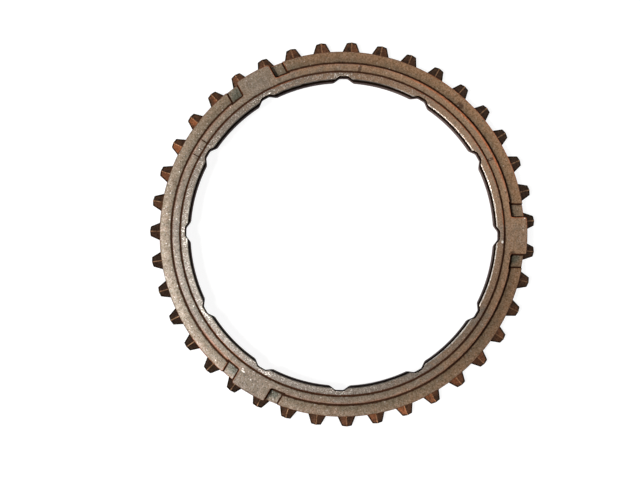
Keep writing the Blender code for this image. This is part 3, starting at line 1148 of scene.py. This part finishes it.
class RING_OT_forging(bpy.types.Operator):
    """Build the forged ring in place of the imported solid"""

    bl_idname = "ring.forging"
    bl_label = "Forged Ring"

    def execute(self, context):
        settings = context.scene.synchronizer_ring
        section = settings.section
        teeth = settings.teeth
        lugs = settings.lugs
        grooves = settings.grooves
        land = milled_section(
            section, section.middle_radius, section.outer_level, section.land_edge, CUT_CLEARANCE
        )
        wall = pocket_wall(section, lugs)
        pocket = milled_section(section, wall, section.pocket_level, lugs.pocket_edge, CUT_CLEARANCE / 2)
        tools = {
            "Ring Section": drawn_section("ring_section", ring_section(section)),
            "Land Section": drawn_section("land_section", land),
            "Pocket Section": drawn_section("pocket_section", pocket),
            "Pocket Span": skinned_body("pocket_span", pocket_rings(section, lugs)),
            "Lug": skinned_body("lug", lug_rings(section, lugs)),
            "Tooth": skinned_body("tooth", tooth_rings(section, teeth)),
            "Groove": skinned_body("groove", groove_rings(section, grooves)),
            "Stamp": stamp_body(section),
        }
        mesh = built_mesh("ring_forging", forged_ring_group(), {
            **tools,
            "Path Radius": section.middle_radius,
            "Steps": section.steps,
            "Lugs": lugs.number,
            "Teeth": teeth.number,
            "Grooves": grooves.number,
            "Steel": forged_steel(settings),
        })
        for tool in tools.values():
            bpy.data.objects.remove(tool)
        mesh.shade_smooth()
        mesh.set_sharp_from_angle(angle=SHARP_ANGLE)
        ring = linked_object("ring_forging", mesh)
        weighted = ring.modifiers.new("even shading", "WEIGHTED_NORMAL")
        weighted.keep_sharp = True
        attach(ring, "root")
        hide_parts(RING_NODE)
        return {"FINISHED"}


def add_lamp(name, energy, size, shade, azimuth, elevation, distance):
    """An area lamp that faces the ring's centre, and that the camera doesn't see."""
    lamp = bpy.data.lights.new(name, "AREA")
    lamp.energy = energy
    lamp.size = size
    lamp.color = shade
    item = linked_object(name, lamp)
    turn, rise = math.radians(azimuth), math.radians(elevation)
    away = Vector((math.cos(rise) * math.cos(turn), math.cos(rise) * math.sin(turn), math.sin(rise)))
    item.location = away * distance
    item.rotation_euler = away.to_track_quat("Z", "Y").to_euler()
    item.visible_camera = False


def studio_floor(studio):
    """A pale floor that keeps the ring's shadow, and looks white to the camera and in the steel."""
    material = bpy.data.materials.new("studio_floor")
    material.use_nodes = True
    sheet = NodeSheet(material.node_tree)
    rays = sheet.node("ShaderNodeLightPath", {}).outputs
    seen = sheet.most(rays["Is Camera Ray"], rays["Is Glossy Ray"], rays["Is Transmission Ray"])
    sheet.surface({
        "Base Color": (*studio.floor, 1.0),
        "Roughness": 1.0,
        "Specular IOR Level": 0.0,
        "Emission Color": (1.0, 1.0, 1.0, 1.0),
        "Emission Strength": sheet.times(seen, studio.floor_glow),
    })
    form = bmesh.new()
    bmesh.ops.create_grid(form, x_segments=1, y_segments=1, size=FLOOR_REACH)
    floor = finished_object("studio_floor", form)
    floor.data.materials.append(material)


class RING_OT_studio(bpy.types.Operator):
    """Set up the floor, the lamps, the room's light and the camera"""

    bl_idname = "ring.studio"
    bl_label = "Studio"

    def execute(self, context):
        studio = context.scene.synchronizer_ring.studio
        studio_floor(studio)
        for name, lamp in LAMPS.items():
            add_lamp(name, getattr(studio, name), *lamp)
        world = bpy.data.worlds.new("studio_room")
        world.use_nodes = True
        background = world.node_tree.nodes["Background"].inputs
        background["Color"].default_value = (1.0, 1.0, 1.0, 1.0)
        background["Strength"].default_value = studio.world
        context.scene.world = world
        context.scene.view_settings.view_transform = "Standard"
        lens = bpy.data.cameras.new("camera")
        lens.sensor_fit = "HORIZONTAL"
        lens.sensor_width = 36.0
        lens.lens = studio.focal_length
        lens.clip_start = 10 * MM
        camera = linked_object("camera", lens)
        turn = Matrix.Rotation(CAMERA_ROLL, 3, "Z")
        camera.location = turn @ Vector(CAMERA_PLACE)
        camera.rotation_euler = (*CAMERA_LEAN, CAMERA_ROLL)
        context.scene.camera = camera
        return {"FINISHED"}


class RING_PT_sidebar(bpy.types.Panel):
    """Builds the ring and its studio"""

    bl_idname = "RING_PT_sidebar"
    bl_label = "Synchronizer Ring"
    bl_space_type = "VIEW_3D"
    bl_region_type = "UI"
    bl_category = "Ring"

    def draw(self, context):
        settings = context.scene.synchronizer_ring
        for operator in OPERATORS:
            self.layout.operator(operator.bl_idname)
        for group in (
            settings.section, settings.teeth, settings.lugs,
            settings.grooves, settings.finish, settings.studio,
        ):
            box = self.layout.box()
            for name in group.bl_rna.properties.keys():
                if name not in ("rna_type", "name"):
                    box.prop(group, name)


OPERATORS = (RING_OT_forging, RING_OT_studio)
CLASSES = (
    SectionSizes,
    ToothSizes,
    LugSizes,
    GrooveSizes,
    SteelFinish,
    StudioLight,
    RingSettings,
    *OPERATORS,
    RING_PT_sidebar,
)


def register():
    for item in CLASSES:
        bpy.utils.register_class(item)
    bpy.types.Scene.synchronizer_ring = PointerProperty(type=RingSettings)


def unregister():
    del bpy.types.Scene.synchronizer_ring
    for item in reversed(CLASSES):
        bpy.utils.unregister_class(item)


def main():
    register()
    bpy.ops.ring.forging()
    bpy.ops.ring.studio()


if __name__ == "__main__":
    main()
